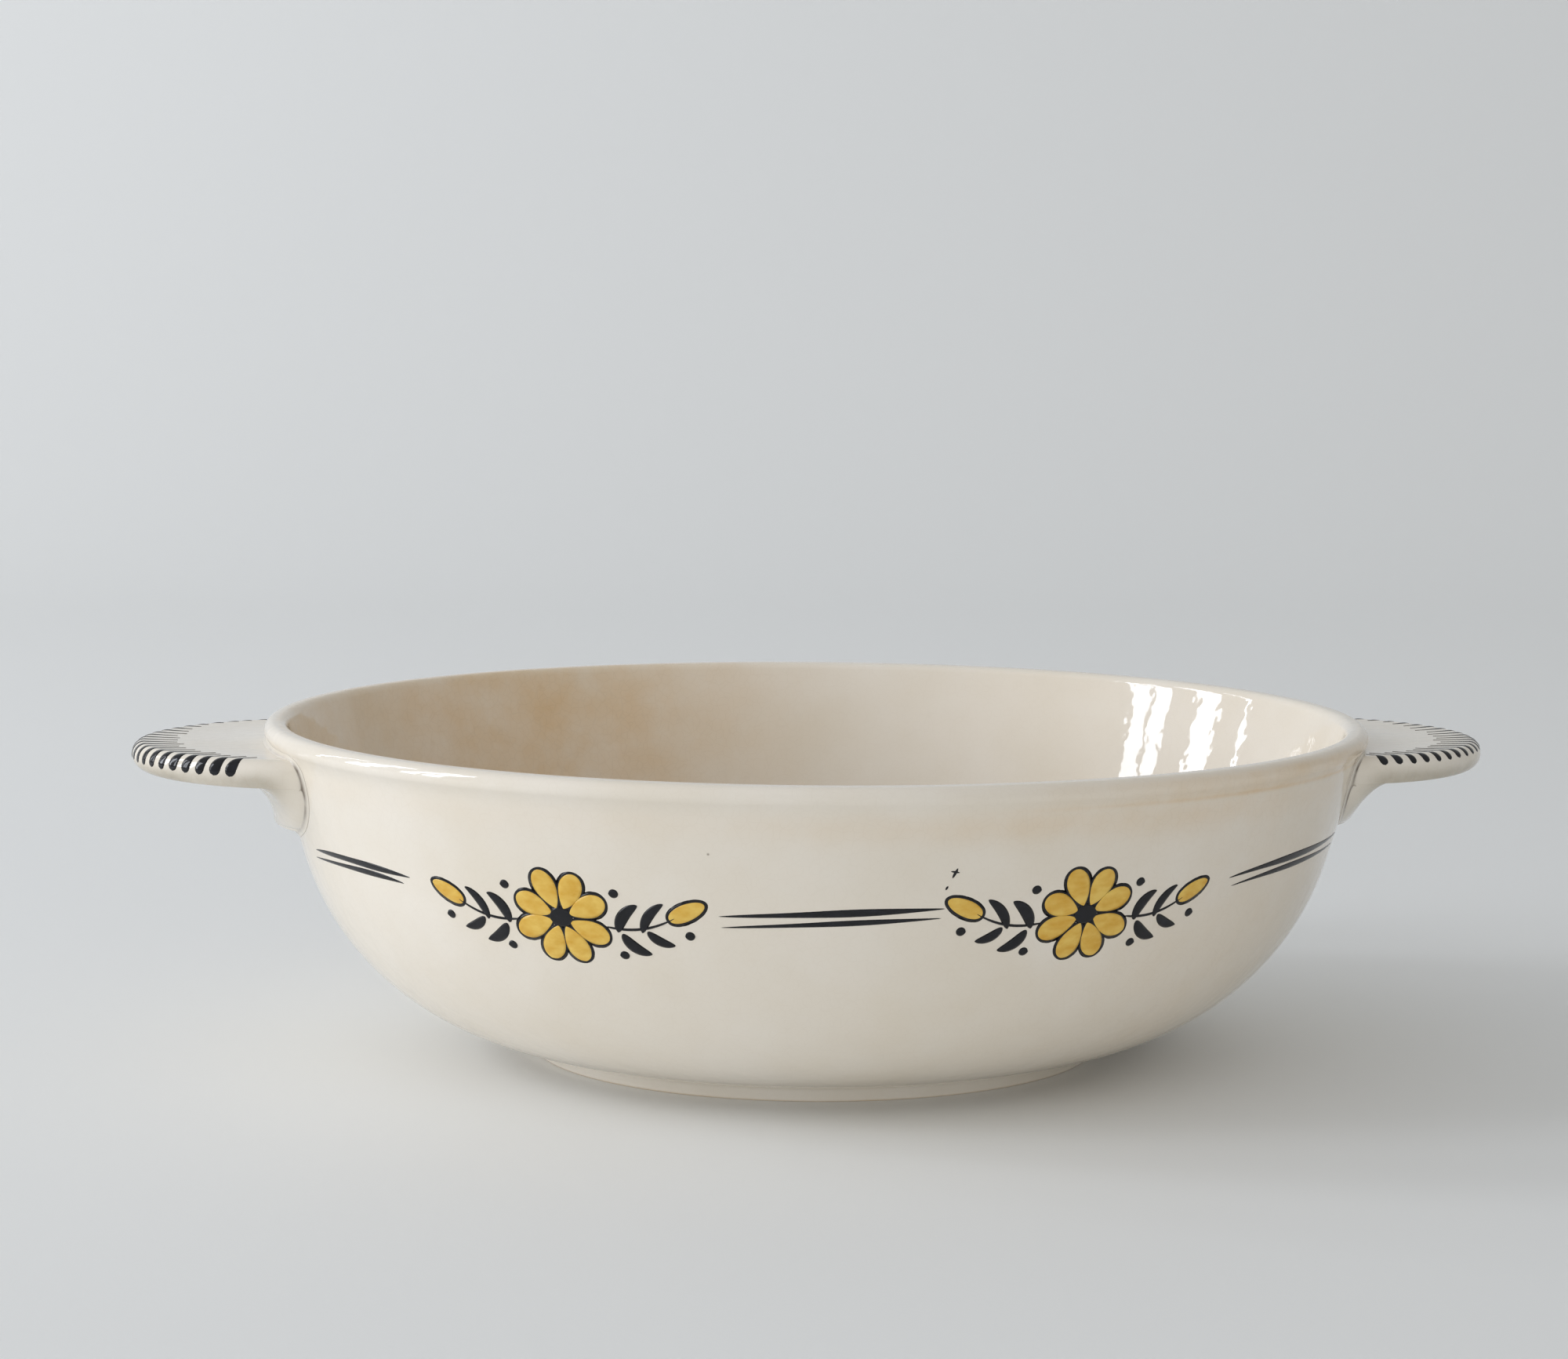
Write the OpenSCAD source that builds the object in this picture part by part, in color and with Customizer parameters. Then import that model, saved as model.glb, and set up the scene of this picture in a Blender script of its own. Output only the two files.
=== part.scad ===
// Oval earthenware vegetable dish with a rounded rim, a low foot ring and two lug handles.
// X runs along the length, Y across the width and Z up. The origin is on the table, under the middle.

/* [Rim] */
// Length over the rim, end to end
rim_length = 234.8; // [210:0.2:270]
// Width over the rim, side to side
rim_width = 195; // [170:1:225]
// Height from the table to the top of the rim
rim_height = 71.5; // [62:0.5:85]
// How far the rounded rim stands out from the wall
rim_proud = 0.9; // [0.5:0.1:2.5]
// Distance between the two rounds of the rim at its ends
rim_land = 0.8; // [0.4:0.1:1.4]
// Fall of the top of the rim towards the inside
rim_crown = 0.3; // [0.2:0.1:0.6]
// Radius of the hollow under the rim
rim_hollow = 9; // [4:0.5:12]

/* [Wall] */
// Thickness of the wall and floor
wall = 4.2; // [3:0.1:5.5]
// Outward lean of the upper wall, in degrees from upright
flare = 15.7; // [9:0.1:20]
// Radius of the belly curve from the wall to the floor
belly_radius = 56.5; // [44:0.5:62]

/* [Foot] */
// Length over the foot ring where it stands
foot_length = 122; // [100:1:140]
// Width over the foot ring where it stands
foot_width = 101; // [84:1:116]
// Height of the floor's underside above the table
foot_height = 2.9; // [2:0.1:5]
// Width of the foot ring's standing face
foot_band = 4.5; // [3:0.1:8]
// Outward lean of the foot ring's outer face, in degrees from upright
foot_lean = 16; // [0:1:30]
// Rounding of the foot ring's lower edges
foot_round = 0.8; // [0.4:0.1:1.4]
// Depth ground off the foot ring, so that it stands flat
foot_ground = 0.1; // [0.05:0.05:0.3]

/* [Handles] */
// How far a handle stands out beyond the rim
handle_reach = 27.4; // [18:0.2:36]
// Width of a handle where it leaves the bowl
handle_width = 65; // [50:0.2:74]
// Thickness of a handle's rounded edge
handle_thick = 5.7; // [5:0.1:8]
// Drop from the top of the rim to the top of a handle
handle_drop = 4.6; // [3:0.1:8]
// Depth of the thumb dish in the top of a handle
handle_dish = 0.4; // [0.2:0.1:1.2]
// Width of the easing at the top of a handle's edge
edge_ease = 2.4; // [1.5:0.1:4]
// How far a handle's sides draw in below the edge's middle
edge_tuck = 0.8; // [0.4:0.1:1.6]
// How far in from the sides of the underside the tongue starts
tongue_step = 1.2; // [0.4:0.1:3]
// Distance that the tongue's outer face stands out from the handle's axis
tongue_out = 8.8; // [7:0.1:11]
// Radius of the hollow curve from the underside down to the tongue
tongue_curve = 10.8; // [8:0.1:14]
// Width of the tongue at its lower end
tongue_width = 36; // [20:1:44]
// Depth of the tongue's rounded end
tongue_end = 2; // [0.8:0.1:3]
// Distance of a handle's axis inside the end of the rim
handle_inset = 10.6; // [9:0.2:12]

/* [Slip joints] */
// Thickness of the slip that sticks a handle to the wall
slip_thick = 0.5; // [0.3:0.05:0.9]
// Width of the slip that shows round a handle's root
slip_collar = 1.2; // [0.4:0.1:1.6]
// Clearance between two pieces that are stuck together
joint_fit = 0.03; // [0.02:0.01:0.1]

/* [Hidden] */
$fn = 120;
glaze_cream = "#E8E1D4";
slip_buff = "#CFC3AC";
// Unit directions square to the upper wall and up along it, in the half section
wall_out = [cos(flare), -sin(flare)];
wall_up = [sin(flare), cos(flare)];
// The rim is two rounds with a narrow land between them, and its inner round runs into the wall's inner face
lip_radius = (wall + rim_proud - rim_land * cos(flare)) / 2;
lip_outer = [rim_length / 2 - lip_radius, rim_height - lip_radius];
lip_inner = lip_outer - [rim_land, 0];
lip_width = 2 * lip_radius + rim_land;
// The oval's width to its length, outside and inside: the wall is as thick at the sides as at the ends
outer_ratio = rim_width / rim_length;
inner_ratio = (rim_width - 2 * lip_width) / (rim_length - 2 * lip_width);
// The outer wall leans in line with the rim and runs into the belly curve without a corner
wall_seat = lip_radius - rim_proud;
belly_z = foot_height + belly_radius;
belly_lean = sin(flare) * (belly_z - lip_outer[1]);
belly_x = lip_outer[0] + (wall_seat - belly_radius + belly_lean) / cos(flare);
belly = [belly_x, belly_z];
floor_z = foot_height + wall;
// The hollow under the rim touches the wall and the rim's round
hollow_out = wall_seat + rim_hollow;
hollow_down = sqrt(pow(lip_radius + rim_hollow, 2) - pow(hollow_out, 2));
// A handle is lofted through oval rings about an upright axis just inside the wall
handle_axis = rim_length / 2 - handle_inset;
handle_radius = handle_inset + handle_reach;
handle_round = handle_thick / 2;
handle_top = rim_height - handle_drop;
handle_under = handle_top - handle_thick;
edge_z = handle_under + handle_round;
// The flat of the lug's top, inside the eased edge
lug_reach = handle_radius - edge_ease;
lug_half = handle_width / 2 - edge_ease;
// Width of the tongue where it spreads into the underside
tongue_top = handle_width - 2 * (edge_tuck + tongue_step);
// The thumb dish spans the lug's top from the rim to the eased edge
dish_start = handle_inset / lug_reach;
dish_middle = (1 + dish_start) / 2;
// Rings in each stretch of the loft, and the angles of a ring's points, closer on the side that shows
dish_steps = 6;
edge_steps = 4;
curve_steps = 8;
end_steps = 3;
ring_turns = [each [-90 : 7.5 : 90], each [120 : 30 : 240]];
// How far a cut runs past the face that it opens
overcut = 1;

// Half section of the bowl's outside, filled to the axis, with its surface moved out by grow
module outer_section(grow = 0) {
    lip = lip_outer + [grow, 0];
    curve = belly + [grow, 0];
    hollow = lip + hollow_out * wall_out - hollow_down * wall_up;
    crown_z = rim_height - rim_crown;
    polygon([
        [0, foot_height],
        [curve[0], foot_height],
        curve + belly_radius * wall_out,
        lip + wall_seat * wall_out,
        [lip[0], crown_z],
        [0, crown_z]
    ]);
    intersection() {
        square([rim_length, belly_z]);
        translate(curve) circle(belly_radius);
    }
    translate(lip) circle(lip_radius);
    difference() {
        polygon([lip, hollow - rim_hollow * wall_out, hollow]);
        translate(hollow) circle(rim_hollow);
    }
}

// Half section of the space inside the bowl
module inner_section() {
    curve = belly_radius - wall;
    difference() {
        union() {
            polygon([
                [0, floor_z],
                [belly[0], floor_z],
                belly + curve * wall_out,
                lip_inner - lip_radius * wall_out,
                lip_inner,
                [lip_inner[0], rim_height + overcut],
                [0, rim_height + overcut]
            ]);
            intersection() {
                square([rim_length, belly_z]);
                translate(belly) circle(curve);
            }
        }
        translate(lip_inner) circle(lip_radius);
    }
}

// Rings of a handle, each a reach from the axis, a half width and a height, moved out by grow
function dish_depth(share) = handle_dish * max(0, 1 - pow((share - dish_middle) / (1 - dish_middle), 2));

function top_rings(grow) = [
    for (i = [1 : dish_steps - 1])
        let (share = i / dish_steps)
        [share * lug_reach, share * lug_half, handle_top + grow - dish_depth(share)]
];

// The edge is an eased round above its middle line
function upper_edge(grow) = [
    for (i = [0 : edge_steps])
        let (turn = 90 * i / edge_steps, ease = (edge_ease + grow) * sin(turn))
        [lug_reach + ease, lug_half + ease, edge_z + (handle_round + grow) * cos(turn)]
];

// Below that line it is round at the handle's tip and nearly upright at its sides, which run into the tongue
function lower_edge(grow) = [
    for (i = [1 : edge_steps])
        let (turn = 90 * i / edge_steps, round = handle_round + grow)
        [
            handle_radius - handle_round + round * cos(turn),
            handle_width / 2 + grow - edge_tuck * (1 - cos(turn)),
            edge_z - round * sin(turn)
        ]
];

function curve_rings(grow) = [
    for (i = [0 : curve_steps])
        let (
            turn = 90 * i / curve_steps,
            radius = tongue_curve - grow,
            half = tongue_width / 2 + (tongue_top - tongue_width) / 2 * sqrt(cos(turn))
        )
        [
            tongue_out + tongue_curve - radius * sin(turn),
            half + grow,
            handle_under - tongue_curve + radius * cos(turn)
        ]
];

function end_rings(grow) = [
    for (i = [1 : end_steps - 1])
        let (turn = 90 * i / end_steps)
        [
            (tongue_out + grow) * cos(turn),
            (tongue_width / 2 + grow) * cos(turn),
            handle_under - tongue_curve - (tongue_end + grow) * sin(turn)
        ]
];

// A closed skin through rings of points, from a point at the top to a point at the bottom
module oval_loft(top, rings, bottom) {
    count = len(ring_turns);
    points = [
        [0, 0, top],
        for (ring = rings)
            for (turn = ring_turns)
                [ring[0] * cos(turn), ring[1] * sin(turn), ring[2]],
        [0, 0, bottom]
    ];
    function at(ring, i) = 1 + ring * count + i % count;
    last = len(rings) - 1;
    faces = [
        for (i = [0 : count - 1]) [0, at(0, i + 1), at(0, i)],
        for (ring = [0 : last - 1])
            for (i = [0 : count - 1])
                each [
                    [at(ring, i), at(ring, i + 1), at(ring + 1, i + 1)],
                    [at(ring, i), at(ring + 1, i + 1), at(ring + 1, i)]
                ],
        for (i = [0 : count - 1]) [len(points) - 1, at(last, i), at(last, i + 1)]
    ];
    polyhedron(points, faces);
}

// A half section turned about the upright axis and drawn in to an oval
module oval(ratio) {
    scale([1, ratio, 1]) rotate_extrude() children();
}

module bowl_outside(grow = 0) {
    oval(outer_ratio) outer_section(grow);
}

// The left handle's whole form, which runs on into the bowl, with its surface moved out by grow:
// a flat lug with a dished top and an eased edge, whose sides run down into a tongue with a round end
module handle_form(grow = 0) {
    rings = concat(
        top_rings(grow),
        upper_edge(grow),
        lower_edge(grow),
        curve_rings(grow),
        end_rings(grow)
    );
    bottom = handle_under - tongue_curve - tongue_end - grow;
    translate([-handle_axis, 0, 0]) mirror([1, 0, 0]) oval_loft(handle_top + grow, rings, bottom);
}

module left_handle() {
    color(glaze_cream) difference() {
        handle_form();
        bowl_outside(slip_thick + joint_fit);
    }
}

module right_handle() {
    mirror([1, 0, 0]) left_handle();
}

// The skin of slip between the handle and the wall, which shows as a narrow collar round the root
module left_handle_slip() {
    color(slip_buff) difference() {
        intersection() {
            handle_form(slip_collar);
            bowl_outside(slip_thick);
        }
        bowl_outside(joint_fit);
    }
}

module right_handle_slip() {
    mirror([1, 0, 0]) left_handle_slip();
}

module bowl() {
    color(glaze_cream) difference() {
        bowl_outside();
        oval(inner_ratio) inner_section();
    }
}

// The ring that the dish stands on, cut at the top to the curve of the belly and ground flat below
module foot_ring() {
    // Half widths of the ring's standing face, and a level well inside the belly
    outside = foot_length / 2;
    inside = outside - foot_band;
    top = foot_height + belly_radius / 2;
    round_z = foot_round - foot_ground;
    color(glaze_cream) difference() {
        oval(foot_width / foot_length) union() {
            polygon([
                [inside, round_z],
                [inside + foot_round, -foot_ground],
                [outside - foot_round, -foot_ground],
                [outside, round_z],
                [outside + (top - round_z) * tan(foot_lean), top],
                [inside, top]
            ]);
            translate([inside + foot_round, round_z]) circle(foot_round);
            translate([outside - foot_round, round_z]) circle(foot_round);
        }
        bowl_outside(joint_fit);
        translate([-foot_length, -foot_length, -foot_length])
            cube([2 * foot_length, 2 * foot_length, foot_length]);
    }
}

bowl();
foot_ring();
left_handle();
right_handle();
left_handle_slip();
right_handle_slip();
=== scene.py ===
import bpy
import numpy as np
from mathutils import Matrix


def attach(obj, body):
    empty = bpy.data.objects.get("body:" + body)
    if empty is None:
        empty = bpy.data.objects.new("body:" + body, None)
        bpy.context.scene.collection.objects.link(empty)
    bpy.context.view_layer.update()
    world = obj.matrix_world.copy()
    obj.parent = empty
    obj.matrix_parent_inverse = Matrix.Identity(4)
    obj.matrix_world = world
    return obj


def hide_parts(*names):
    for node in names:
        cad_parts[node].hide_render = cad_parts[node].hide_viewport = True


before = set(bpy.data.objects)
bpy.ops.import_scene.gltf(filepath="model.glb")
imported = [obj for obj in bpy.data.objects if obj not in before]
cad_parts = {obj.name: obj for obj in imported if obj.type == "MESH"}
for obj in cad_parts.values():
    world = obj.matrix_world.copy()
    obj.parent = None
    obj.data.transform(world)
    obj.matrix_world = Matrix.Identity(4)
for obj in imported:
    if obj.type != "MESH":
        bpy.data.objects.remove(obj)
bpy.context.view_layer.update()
mm = 0.001


# sRGB hex to linear: each channel over 255, then the sRGB curve undone
def linear(hexColour):
    c = np.array([int(hexColour[i:i + 2], 16) for i in (1, 3, 5)]) / 255
    c = np.where(c <= 0.04045, c / 12.92, ((c + 0.055) / 1.055) ** 2.4)
    return (*c.tolist(), 1.0)


# a node of the given kind with its settings, and its inputs set or linked
def addNode(material, kind, settings=None, **inputs):
    node = material.node_tree.nodes.new(kind)
    for key, value in (settings or {}).items():
        setattr(node, key, value)
    for key, value in inputs.items():
        place = int(key[2:]) if key.startswith("in") else key.replace("_", " ")
        socket = node.inputs[place]
        if isinstance(value, bpy.types.NodeSocket):
            material.node_tree.links.new(value, socket)
        else:
            socket.default_value = value
    return node


# closed skin through rings: points[mark, ring, place, xyz] in mm. Places close on themselves, and the end
# rings shrink to a point, or the rings run round in a loop. Each mark is turned so that its volume is
# positive
def skinMesh(name, points, material, layers=None, loop=False):
    marks, rings, places = points.shape[:3]
    index = np.arange(marks * rings * places).reshape(marks, rings, places)
    if not loop:
        index[:, 0] = index[:, 0, :1]
        index[:, -1] = index[:, -1, :1]
    index = np.concatenate([index, index[:, :, :1]], axis=2)
    if loop:
        index = np.concatenate([index, index[:, :1]], axis=1)
    quads = np.stack([index[:, :-1, :-1], index[:, :-1, 1:], index[:, 1:, 1:], index[:, 1:, :-1]], axis=-1)
    quads = quads.reshape(marks, -1, 4)
    flat = points.reshape(-1, 3) * mm
    a, b, c, d = (flat[quads[:, :, i]] for i in range(4))
    volume = np.sum(a * (np.cross(b, c) + np.cross(c, d)), axis=(1, 2))
    quads = np.where((volume < 0)[:, None, None], quads[:, :, ::-1], quads).reshape(-1, 4)
    used, quads = np.unique(quads, return_inverse=True)
    quads = quads.reshape(-1, 4)
    following = np.roll(quads, -1, axis=1)
    same = quads == following
    faces = quads[~same.any(axis=1)].tolist()
    for i in range(4):
        keep = [j for j in range(4) if j != i]
        faces += quads[same[:, i] & ~same[:, :i].any(axis=1)][:, keep].tolist()
    mesh = bpy.data.meshes.new(name)
    mesh.from_pydata(flat[used].tolist(), [], faces)
    mesh.polygons.foreach_set("use_smooth", np.ones(len(mesh.polygons), dtype=bool))
    for key, values in (layers or {}).items():
        layer = mesh.attributes.new(key, "FLOAT", "POINT")
        spread = np.broadcast_to(values, points.shape[:3]).reshape(-1)
        layer.data.foreach_set("value", spread[used].astype(np.float32))
    mesh.materials.append(material)
    mesh.update()
    piece = bpy.data.objects.new(name, mesh)
    bpy.context.collection.objects.link(piece)
    return piece


# points on a circle's arc between two angles in degrees
def arc(centre, radius, start, end, count):
    turn = np.radians(np.linspace(start, end, count))
    return np.stack([centre[0] + radius * np.cos(turn), centre[1] + radius * np.sin(turn)], axis=1)


# points on a straight line
def line(start, end, count):
    share = np.linspace(0, 1, count)[:, None]
    return np.array(start) * (1 - share) + np.array(end) * share


# a soft step: 0 at low and 1 at high, whichever is greater, and an even S-curve between
def smooth(low, high, value):
    t = np.clip((value - low) / (high - low), 0, 1)
    return t * t * (3 - 2 * t)


# Camera: distance in mm, angles in degrees, lens and sensor in mm
camera = {"distance": 685.36, "elevation": 13.793, "azimuth": -6.812, "pan": -0.655, "tilt": 6.578,
          "roll": 0.717, "lens": 72, "sensor": 36, "nearest": 50}


# the camera stands on a sphere about the origin, looks at it, is turned by pan and tilt and rolled about
# its view
def placeCamera(name, settings):
    angles = ("elevation", "azimuth", "pan", "tilt", "roll")
    el, az, pan, tilt, roll = np.radians([settings[key] for key in angles])
    up = np.array([0, 0, 1.0])
    place = settings["distance"] * np.array([np.sin(az) * np.cos(el), -np.cos(az) * np.cos(el), np.sin(el)])
    ahead = -place / np.linalg.norm(place)
    side = np.cross(ahead, up)
    side /= np.linalg.norm(side)
    ahead = ahead + np.tan(pan) * side + np.tan(tilt) * np.cross(side, ahead)
    ahead /= np.linalg.norm(ahead)
    side = np.cross(ahead, up)
    side /= np.linalg.norm(side)
    above = np.cross(side, ahead)
    right = np.cos(roll) * side + np.sin(roll) * above
    top = -np.sin(roll) * side + np.cos(roll) * above
    data = bpy.data.cameras.new(name)
    data.sensor_fit = "HORIZONTAL"
    data.sensor_width = settings["sensor"]
    data.lens = settings["lens"]
    data.clip_start = settings["nearest"] * mm
    seen = bpy.data.objects.new(name, data)
    bpy.context.collection.objects.link(seen)
    turn = Matrix(np.stack([right, top, -ahead], axis=1).tolist()).to_4x4()
    seen.matrix_world = Matrix.Translation((place * mm).tolist()) @ turn
    bpy.context.scene.camera = seen


placeCamera("table_camera", camera)
print("camera placed")


# Materials
def newMaterial(name):
    material = bpy.data.materials.new(name)
    material.use_nodes = True
    material.node_tree.nodes.clear()
    return material


def finishMaterial(material, shader):
    output = addNode(material, "ShaderNodeOutputMaterial")
    material.node_tree.links.new(shader.outputs[0], output.inputs["Surface"])


glaze = {"pale": "#F2EBDF", "warm": "#ECE3D3", "stain_and_shade": "#DBA63A", "craze": "#B79E78", "speck": "#6B5540",
         "cloud": 34, "blotch": 13.6, "crazeCell": 1.9, "crazeLine": 0.07, "crazeShow": 0.025,
         "crazeStained": 0.2, "crazeBend": 5.0, "crazeBentBy": 2.2, "speckCell": 9.0, "speckSize": 0.045,
         "speckClear": 0.8, "speckDark": 0.75,
         "ripple": 3.4, "rippleDepth": 0.06, "roughness": 0.02, "worn": 0.03, "ior": 1.6}


# Lead-glazed cream earthenware: a clear glassy coat over warm off-white clay, clouded by old stains and by
# painted shade laid on in the stain's colour, with a fine net of crazing that shows most where that colour is
# laid, a few iron specks, and a slow ripple in the reflections
def creamGlaze(name, settings):
    m = newMaterial(name)
    place = addNode(m, "ShaderNodeTexCoord").outputs["Object"]
    # this attribute carries real stains and painted shade alike; both mix the clay towards the stain colour
    stain_and_shade = addNode(m, "ShaderNodeAttribute", {"attribute_name": "stain_and_shade"}).outputs["Fac"]
    cloud = addNode(m, "ShaderNodeTexNoise", Vector=place, Scale=1000 / settings["cloud"], Detail=3.0,
                    Roughness=0.55)
    cloudy = addNode(m, "ShaderNodeMapRange", Value=cloud.outputs["Fac"], From_Min=0.35, From_Max=0.7)
    clay = addNode(m, "ShaderNodeMix", {"data_type": "RGBA"}, in0=cloudy.outputs[0],
                   in6=linear(settings["pale"]), in7=linear(settings["warm"]))
    blotch = addNode(m, "ShaderNodeTexNoise", Vector=place, Scale=1000 / settings["blotch"], Detail=4.0,
                     Roughness=0.6)
    blotchy = addNode(m, "ShaderNodeMapRange", Value=blotch.outputs["Fac"], From_Min=0.3, From_Max=0.75,
                      To_Min=0.45, To_Max=1.1)
    stained = addNode(m, "ShaderNodeMath", {"operation": "MULTIPLY"}, in0=stain_and_shade, in1=blotchy.outputs[0])
    body = addNode(m, "ShaderNodeMix", {"data_type": "RGBA"}, in0=stained.outputs[0], in6=clay.outputs[2],
                   in7=linear(settings["stain_and_shade"]))
    # the crazing is a net of cell edges, bent a little by noise, and drawn coarser than the real net so
    # that it shows
    bend = addNode(m, "ShaderNodeTexNoise", Vector=place, Scale=1000 / settings["crazeBend"], Detail=2.0)
    bent = addNode(m, "ShaderNodeVectorMath", {"operation": "MULTIPLY_ADD"}, in0=bend.outputs["Color"],
                   in1=(settings["crazeBentBy"] * mm,) * 3, in2=place)
    net = addNode(m, "ShaderNodeTexVoronoi", {"feature": "DISTANCE_TO_EDGE"}, Vector=bent.outputs[0],
                  Scale=1000 / settings["crazeCell"])
    thread = addNode(m, "ShaderNodeMapRange", Value=net.outputs["Distance"], From_Min=0.0,
                     From_Max=settings["crazeLine"], To_Min=1.0, To_Max=0.0)
    show = addNode(m, "ShaderNodeMath", {"operation": "MULTIPLY_ADD"}, in0=stained.outputs[0],
                   in1=settings["crazeStained"], in2=settings["crazeShow"])
    cracked = addNode(m, "ShaderNodeMath", {"operation": "MULTIPLY"}, in0=thread.outputs[0],
                      in1=show.outputs[0])
    crazed = addNode(m, "ShaderNodeMix", {"data_type": "RGBA"}, in0=cracked.outputs[0], in6=body.outputs[2],
                     in7=linear(settings["craze"]))
    # a speck is a small dot in the middle of a few cells
    cells = addNode(m, "ShaderNodeTexVoronoi", {"feature": "F1"}, Vector=place,
                    Scale=1000 / settings["speckCell"])
    chosen = addNode(m, "ShaderNodeMath", {"operation": "GREATER_THAN"}, in0=cells.outputs["Color"],
                     in1=settings["speckClear"])
    dot = addNode(m, "ShaderNodeMapRange", Value=cells.outputs["Distance"],
                  From_Min=settings["speckSize"] * 0.5, From_Max=settings["speckSize"],
                  To_Min=settings["speckDark"], To_Max=0.0)
    speck = addNode(m, "ShaderNodeMath", {"operation": "MULTIPLY"}, in0=chosen.outputs[0], in1=dot.outputs[0])
    colour = addNode(m, "ShaderNodeMix", {"data_type": "RGBA"}, in0=speck.outputs[0], in6=crazed.outputs[2],
                     in7=linear(settings["speck"]))
    gloss = addNode(m, "ShaderNodeMapRange", Value=blotch.outputs["Fac"], To_Min=settings["roughness"],
                    To_Max=settings["roughness"] + settings["worn"])
    ripple = addNode(m, "ShaderNodeTexNoise", Vector=place, Scale=1000 / settings["ripple"], Detail=1.0)
    swell = addNode(m, "ShaderNodeBump", Strength=1.0, Distance=settings["rippleDepth"] * mm,
                    Height=ripple.outputs["Fac"])
    shader = addNode(m, "ShaderNodeBsdfPrincipled", Base_Color=colour.outputs[2], Roughness=gloss.outputs[0],
                     IOR=settings["ior"], Normal=swell.outputs[0])
    finishMaterial(m, shader)
    return m


slip = {"clay": "#EBE3D5", "seam": "#4C3622", "streak": 3.5, "roughness": 0.14, "worn": 0.15, "ior": 1.5}


# Stained slip joint: glazed clay slip, cream at its edges, with brown stain caught along the middle of
# the joint
def slipJoint(name, settings):
    m = newMaterial(name)
    place = addNode(m, "ShaderNodeTexCoord").outputs["Object"]
    seam = addNode(m, "ShaderNodeAttribute", {"attribute_name": "seam"}).outputs["Fac"]
    patchy = addNode(m, "ShaderNodeTexNoise", Vector=place, Scale=1000 / settings["streak"], Detail=3.0)
    caught = addNode(m, "ShaderNodeMapRange", Value=patchy.outputs["Fac"], From_Min=0.3, From_Max=0.7,
                     To_Min=0.45, To_Max=1.0)
    stained = addNode(m, "ShaderNodeMath", {"operation": "MULTIPLY"}, in0=seam, in1=caught.outputs[0])
    colour = addNode(m, "ShaderNodeMix", {"data_type": "RGBA"}, in0=stained.outputs[0],
                     in6=linear(settings["clay"]), in7=linear(settings["seam"]))
    rough = addNode(m, "ShaderNodeMapRange", Value=patchy.outputs["Fac"], To_Min=settings["roughness"],
                    To_Max=settings["roughness"] + settings["worn"])
    shader = addNode(m, "ShaderNodeBsdfPrincipled", Base_Color=colour.outputs[2], Roughness=rough.outputs[0],
                     IOR=settings["ior"])
    finishMaterial(m, shader)
    return m


blackPaint = {"deep": "#0B0C11", "thin": "#1D1E26", "washed": "#6A6763", "grain": 1.6, "low": 0.45,
              "high": 0.8, "drawn": 1.8, "roughness": 0.06, "worn": 0.1, "ior": 1.45}
yellowPaint = {"deep": "#DDAA3B", "thin": "#EFCA64", "washed": "#F0D58A", "grain": 3.2, "low": 0.3,
               "high": 0.7, "drawn": 1.8, "roughness": 0.1, "worn": 0.1, "ior": 1.5}


# Underglaze colour laid on by brush: deep where the brush left most, thinner in patches and streaks,
# washed out at the tails of the strokes, under a glassy coat
def brushColour(name, settings):
    m = newMaterial(name)
    place = addNode(m, "ShaderNodeTexCoord").outputs["Object"]
    drawn = addNode(m, "ShaderNodeMapping", Vector=place, Scale=(1.0, 1.0, settings["drawn"]))
    load = addNode(m, "ShaderNodeTexNoise", Vector=drawn.outputs[0], Scale=1000 / settings["grain"],
                   Detail=3.0)
    spread = addNode(m, "ShaderNodeMapRange", Value=load.outputs["Fac"], From_Min=settings["low"],
                     From_Max=settings["high"])
    full = addNode(m, "ShaderNodeMix", {"data_type": "RGBA"}, in0=spread.outputs[0],
                   in6=linear(settings["deep"]), in7=linear(settings["thin"]))
    wash = addNode(m, "ShaderNodeAttribute", {"attribute_name": "wash"}).outputs["Fac"]
    colour = addNode(m, "ShaderNodeMix", {"data_type": "RGBA"}, in0=wash, in6=full.outputs[2],
                     in7=linear(settings["washed"]))
    rough = addNode(m, "ShaderNodeMapRange", Value=load.outputs["Fac"], To_Min=settings["roughness"],
                    To_Max=settings["roughness"] + settings["worn"])
    shader = addNode(m, "ShaderNodeBsdfPrincipled", Base_Color=colour.outputs[2], Roughness=rough.outputs[0],
                     IOR=settings["ior"])
    finishMaterial(m, shader)
    return m


creamEarthenware = creamGlaze("cream_glazed_earthenware", glaze)
# the same glaze on the handles, with a grey-brown colour that paints shade under their edges
handledEarthenware = creamGlaze("handled_cream_glaze", {**glaze, "stain_and_shade": "#857A5E"})
stainedSlip = slipJoint("stained_slip", slip)
blackEnamel = brushColour("blue_black_enamel", blackPaint)
yellowEnamel = brushColour("yellow_enamel", yellowPaint)
print("materials made")


# Bowl, in mm and degrees
bowl = {"rimLength": 234.8, "rimWidth": 195, "rimHeight": 71.5, "rimProud": 0.9, "rimLand": 0.8,
        "rimHollow": 9, "wall": 4.2, "flare": 15.7, "bellyRadius": 56.5, "footHeight": 2.9, "turns": 400}
flare = np.radians(bowl["flare"])
wallOut = np.array([np.cos(flare), -np.sin(flare)])
wallUp = np.array([np.sin(flare), np.cos(flare)])
lipRadius = (bowl["wall"] + bowl["rimProud"] - bowl["rimLand"] * np.cos(flare)) / 2
lipOuter = np.array([bowl["rimLength"] / 2 - lipRadius, bowl["rimHeight"] - lipRadius])
lipInner = lipOuter - [bowl["rimLand"], 0]
lipWidth = 2 * lipRadius + bowl["rimLand"]
outerRatio = bowl["rimWidth"] / bowl["rimLength"]
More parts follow.
